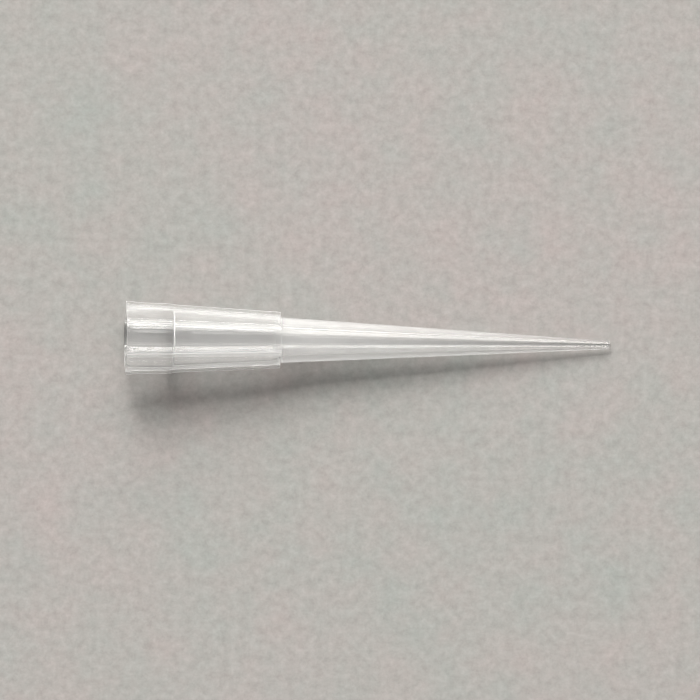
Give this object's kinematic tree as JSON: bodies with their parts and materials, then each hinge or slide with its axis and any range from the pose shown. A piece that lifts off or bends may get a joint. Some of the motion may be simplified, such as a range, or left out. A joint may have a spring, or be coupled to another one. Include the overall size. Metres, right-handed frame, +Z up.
{
  "type": "pipette tip",
  "caption": "Clear disposable pipette tip lying on its side: ribbed head with an open mouth, square shoulder and a long tapered shaft ending in a small orifice.",
  "frame": {"origin": "on the surface the tip lies on, under the middle of its length", "axes": "+X from the mouth towards the orifice, +Y across the tip, +Z up; the tip's own axis points along +X and 3.7 degrees down, as it rests"},
  "size_m": [0.0512, 0.0078, 0.0072],
  "materials": {
    "natural_polypropylene": "clear to slightly milky, smooth moulded gloss"
  },
  "bodies": {
    "root": {"pipette_tip": "natural_polypropylene"}
  },
  "joints": []
}
